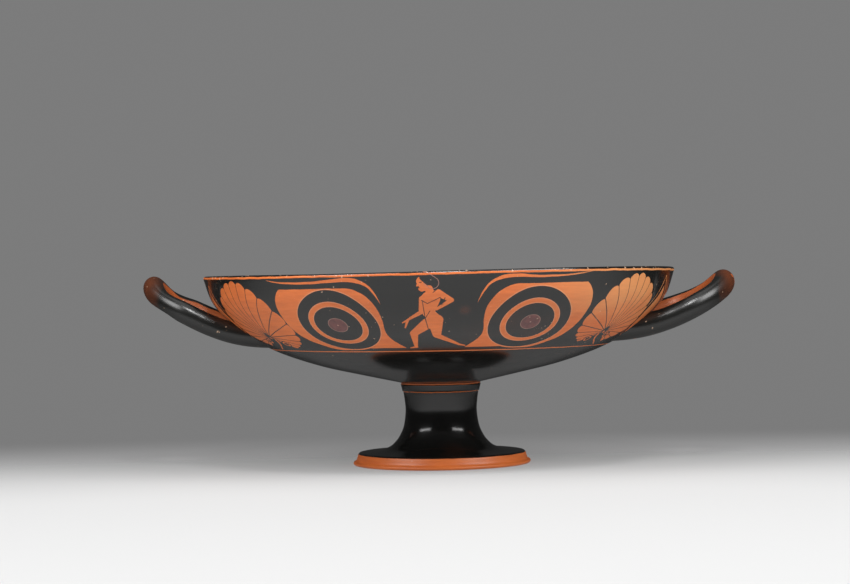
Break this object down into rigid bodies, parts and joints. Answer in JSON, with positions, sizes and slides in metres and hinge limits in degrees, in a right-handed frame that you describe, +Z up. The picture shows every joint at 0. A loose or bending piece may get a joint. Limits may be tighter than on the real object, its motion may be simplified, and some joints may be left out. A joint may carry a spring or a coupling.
{
  "type": "kylix cup",
  "caption": "Wide shallow footed drinking cup in painted fired clay, with upcurled loop handles, painted eyes and palmettes outside.",
  "frame": {"origin": "centre of the foot's underside, on the surface that the cup stands on", "axes": "+Z up along the cup's axis, +X through the handles, -Y towards the front picture"},
  "size_m": [0.4165, 0.33, 0.136],
  "materials": {
    "painted_clay": "black clay gloss with the pattern left in bare orange clay"
  },
  "bodies": {
    "root": {"kylix": "painted_clay"}
  },
  "joints": []
}
